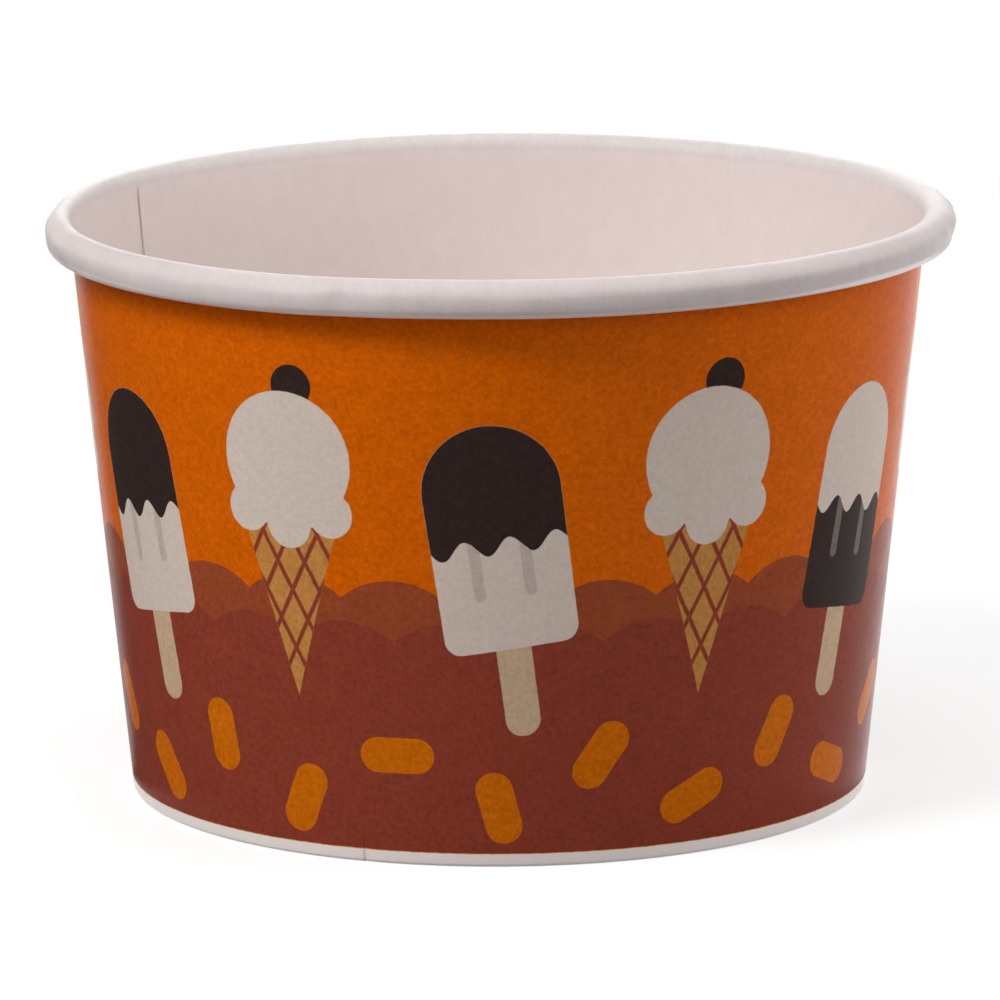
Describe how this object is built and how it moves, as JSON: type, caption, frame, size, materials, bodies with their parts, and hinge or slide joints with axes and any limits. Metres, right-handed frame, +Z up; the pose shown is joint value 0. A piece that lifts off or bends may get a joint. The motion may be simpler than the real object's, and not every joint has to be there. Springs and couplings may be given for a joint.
{
  "type": "paper dessert cup",
  "caption": "Tapered disposable paperboard cup with a rolled rim, a lap seam and a raised bottom held by the folded foot, printed outside and white inside.",
  "frame": {"origin": "centre of the foot, on the surface the cup stands on", "axes": "+Z up along the cup's axis, -Y towards the front of the print"},
  "size_m": [0.096, 0.096, 0.0622],
  "materials": {
    "printed_board": "coated paperboard, white inside and on the rolled rim, printed in warm orange and brown outside",
    "white_board": "white coated paperboard"
  },
  "bodies": {
    "root": {"side_wall": "printed_board", "bottom_disc": "white_board"}
  },
  "joints": []
}
